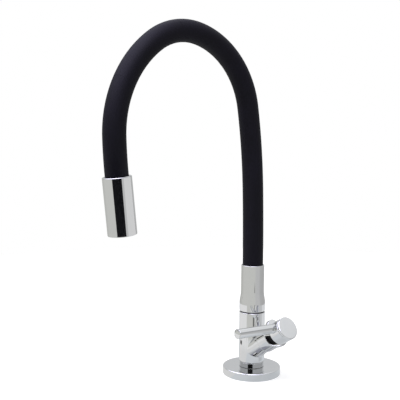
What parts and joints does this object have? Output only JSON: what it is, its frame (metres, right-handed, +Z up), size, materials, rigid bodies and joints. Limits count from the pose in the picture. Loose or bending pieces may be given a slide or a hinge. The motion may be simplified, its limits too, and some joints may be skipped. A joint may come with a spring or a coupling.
{
  "type": "flexible kitchen faucet",
  "caption": "Deck-mounted kitchen tap with a bendable black hose spout, a chrome outlet head, a leaning side valve with a lever rod, and a round flange fixed by a threaded shank.",
  "frame": {"origin": "centre of the flange's underside, in the plane of the worktop's top", "axes": "+Z up along the body; the spout reaches over towards -Y; the side valve leans up towards +X"},
  "size_m": [0.0926, 0.2197, 0.4261],
  "materials": {
    "chrome": "polished",
    "brass": "machined",
    "steel": "plain",
    "black_silicone": "matte",
    "black_plastic": "satin",
    "rubber": "matte",
    "grey_plastic": "matte",
    "white_plastic": "satin",
    "ceramic": "lapped ceramic"
  },
  "bodies": {
    "tap": {"base_flange": "chrome", "flange_gasket": "rubber", "neck_ring": "chrome", "tap_body": "chrome", "inlet_shank": "brass", "deck_washer": "rubber", "lock_nut": "brass", "cartridge_body": "brass", "cartridge_oring": "rubber", "seat_seal": "rubber", "fixed_disc": "ceramic", "bonnet_nut": "chrome", "glide_ring": "black_plastic", "swivel_washer": "black_plastic", "swivel_clip": "white_plastic"},
    "handle": {"handle_knob": "chrome", "knob_cap": "chrome", "handle_screw": "steel", "lever_rod": "chrome", "spindle": "brass", "spindle_oring": "rubber", "moving_disc": "ceramic"},
    "spout": {"spout_collar": "chrome", "swivel_stem": "brass", "swivel_oring_lower": "rubber", "swivel_oring_upper": "rubber", "hose_ferrule": "brass", "hose_sleeve_1": "black_silicone", "hose_core_1": "grey_plastic"},
    "hose_2": {"hose_sleeve_2": "black_silicone", "hose_core_2": "grey_plastic"},
    "hose_3": {"hose_sleeve_3": "black_silicone", "hose_core_3": "grey_plastic"},
    "hose_4": {"hose_sleeve_4": "black_silicone", "hose_core_4": "grey_plastic"},
    "hose_5": {"hose_sleeve_5": "black_silicone", "hose_core_5": "grey_plastic"},
    "hose_6": {"hose_sleeve_6": "black_silicone", "hose_core_6": "grey_plastic", "spout_head": "chrome", "head_connector": "brass", "head_oring": "rubber", "aerator_housing": "chrome", "aerator_screen": "white_plastic", "aerator_gasket": "rubber"}
  },
  "joints": [
    {"name": "valve_turn", "type": "hinge", "parent": "tap", "child": "handle", "pos_m": [0, 0, 0.0265], "axis": [0.8387, 0, 0.5446], "range_deg": [0, 90]},
    {"name": "spout_swivel", "type": "hinge", "parent": "tap", "child": "spout", "pos_m": [0, 0, 0.0692], "axis": [0, 0, 1], "continuous": true},
    {"name": "flex_1", "type": "hinge", "parent": "spout", "child": "hose_2", "pos_m": [0, -0.00143, 0.20298], "axis": [1, 0, 0], "range_deg": [-20, 10]},
    {"name": "flex_2", "type": "hinge", "parent": "hose_2", "child": "hose_3", "pos_m": [0, -0.0105, 0.29145], "axis": [1, 0, 0], "range_deg": [-20, 10]},
    {"name": "flex_3", "type": "hinge", "parent": "hose_3", "child": "hose_4", "pos_m": [0, -0.0785, 0.36188], "axis": [1, 0, 0], "range_deg": [-20, 10]},
    {"name": "flex_4", "type": "hinge", "parent": "hose_4", "child": "hose_5", "pos_m": [0, -0.13084, 0.35094], "axis": [1, 0, 0], "range_deg": [-20, 10]},
    {"name": "flex_5", "type": "hinge", "parent": "hose_5", "child": "hose_6", "pos_m": [0, -0.17685, 0.25806], "axis": [1, 0, 0], "range_deg": [-20, 10]}
  ]
}
